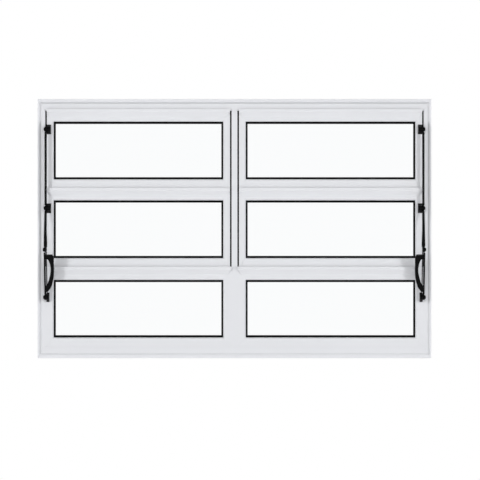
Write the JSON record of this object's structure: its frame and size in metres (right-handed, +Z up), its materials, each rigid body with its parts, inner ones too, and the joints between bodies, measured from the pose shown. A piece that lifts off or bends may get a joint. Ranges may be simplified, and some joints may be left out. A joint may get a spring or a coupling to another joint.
{
  "type": "pivot window",
  "caption": "Louvred pivot window: white frame with linked pivoting sashes over fixed panes, black seals, side rods and D-grip levers.",
  "frame": {"origin": "middle of the sill body's flat underside, in the sashes' pivot plane", "axes": "+X to the right seen from the room, -Y towards the room, +Z up"},
  "size_m": [1.2, 0.1027, 0.79],
  "materials": {
    "white_frame": "satin",
    "pane_glass": null,
    "black_seal": null,
    "pile_brush": null,
    "black_metal": "satin"
  },
  "bodies": {
    "frame": {"head": "white_frame", "sill": "white_frame", "left_jamb": "white_frame", "right_jamb": "white_frame", "mullion": "white_frame", "transoms": "white_frame", "fixed_stiles": "white_frame", "fixed_rails": "white_frame", "fixed_glass": "pane_glass", "fixed_gaskets": "black_seal", "fulcrum_lugs": "black_metal", "brush_seals": "pile_brush"},
    "left_top_sash": {"left_top_rails": "white_frame", "left_top_stiles": "white_frame", "left_top_glass": "pane_glass", "left_top_gasket": "black_seal", "left_top_lug": "black_metal"},
    "left_middle_sash": {"left_middle_rails": "white_frame", "left_middle_stiles": "white_frame", "left_middle_glass": "pane_glass", "left_middle_gasket": "black_seal", "left_middle_lug": "black_metal"},
    "left_rod": {"left_rod": "black_metal"},
    "left_link": {"left_link": "black_metal"},
    "left_lever": {"left_lever": "black_metal"},
    "right_top_sash": {"right_top_rails": "white_frame", "right_top_stiles": "white_frame", "right_top_glass": "pane_glass", "right_top_gasket": "black_seal", "right_top_lug": "black_metal"},
    "right_middle_sash": {"right_middle_rails": "white_frame", "right_middle_stiles": "white_frame", "right_middle_glass": "pane_glass", "right_middle_gasket": "black_seal", "right_middle_lug": "black_metal"},
    "right_rod": {"right_rod": "black_metal"},
    "right_link": {"right_link": "black_metal"},
    "right_lever": {"right_lever": "black_metal"}
  },
  "joints": [
    {"name": "left_top_tilt", "type": "hinge", "parent": "frame", "child": "left_top_sash", "pos_m": [-0.2927, 0, 0.619], "axis": [1, 0, 0], "range_deg": [0, 35]},
    {"name": "left_middle_tilt", "type": "hinge", "parent": "frame", "child": "left_middle_sash", "pos_m": [-0.2927, 0, 0.379], "axis": [1, 0, 0], "range_deg": [0, 35]},
    {"name": "left_rod_swing", "type": "hinge", "parent": "left_top_sash", "child": "left_rod", "pos_m": [-0.5723, -0.028, 0.688], "axis": [1, 0, 0], "range_deg": [-35, 0]},
    {"name": "left_link_swing", "type": "hinge", "parent": "left_rod", "child": "left_link", "pos_m": [-0.5723, -0.028, 0.448], "axis": [1, 0, 0], "range_deg": [-7.6, 0]},
    {"name": "left_lever_swing", "type": "hinge", "parent": "frame", "child": "left_lever", "pos_m": [-0.5723, -0.028, 0.177], "axis": [1, 0, 0], "range_deg": [0, 22]},
    {"name": "right_top_tilt", "type": "hinge", "parent": "frame", "child": "right_top_sash", "pos_m": [0.2927, 0, 0.619], "axis": [1, 0, 0], "range_deg": [0, 35]},
    {"name": "right_middle_tilt", "type": "hinge", "parent": "frame", "child": "right_middle_sash", "pos_m": [0.2927, 0, 0.379], "axis": [1, 0, 0], "range_deg": [0, 35]},
    {"name": "right_rod_swing", "type": "hinge", "parent": "right_top_sash", "child": "right_rod", "pos_m": [0.5723, -0.028, 0.688], "axis": [1, 0, 0], "range_deg": [-35, 0]},
    {"name": "right_link_swing", "type": "hinge", "parent": "right_rod", "child": "right_link", "pos_m": [0.5723, -0.028, 0.448], "axis": [1, 0, 0], "range_deg": [-7.6, 0]},
    {"name": "right_lever_swing", "type": "hinge", "parent": "frame", "child": "right_lever", "pos_m": [0.5723, -0.028, 0.177], "axis": [1, 0, 0], "range_deg": [0, 22]}
  ],
  "couplings": [
    {"joint": "left_middle_tilt", "follows": "left_top_tilt", "ratio": 1},
    {"joint": "left_rod_swing", "follows": "left_top_tilt", "ratio": -1},
    {"joint": "left_link_swing", "follows": "left_top_tilt", "ratio": -0.215},
    {"joint": "left_lever_swing", "follows": "left_top_tilt", "ratio": 0.628},
    {"joint": "right_middle_tilt", "follows": "right_top_tilt", "ratio": 1},
    {"joint": "right_rod_swing", "follows": "right_top_tilt", "ratio": -1},
    {"joint": "right_link_swing", "follows": "right_top_tilt", "ratio": -0.215},
    {"joint": "right_lever_swing", "follows": "right_top_tilt", "ratio": 0.628}
  ]
}
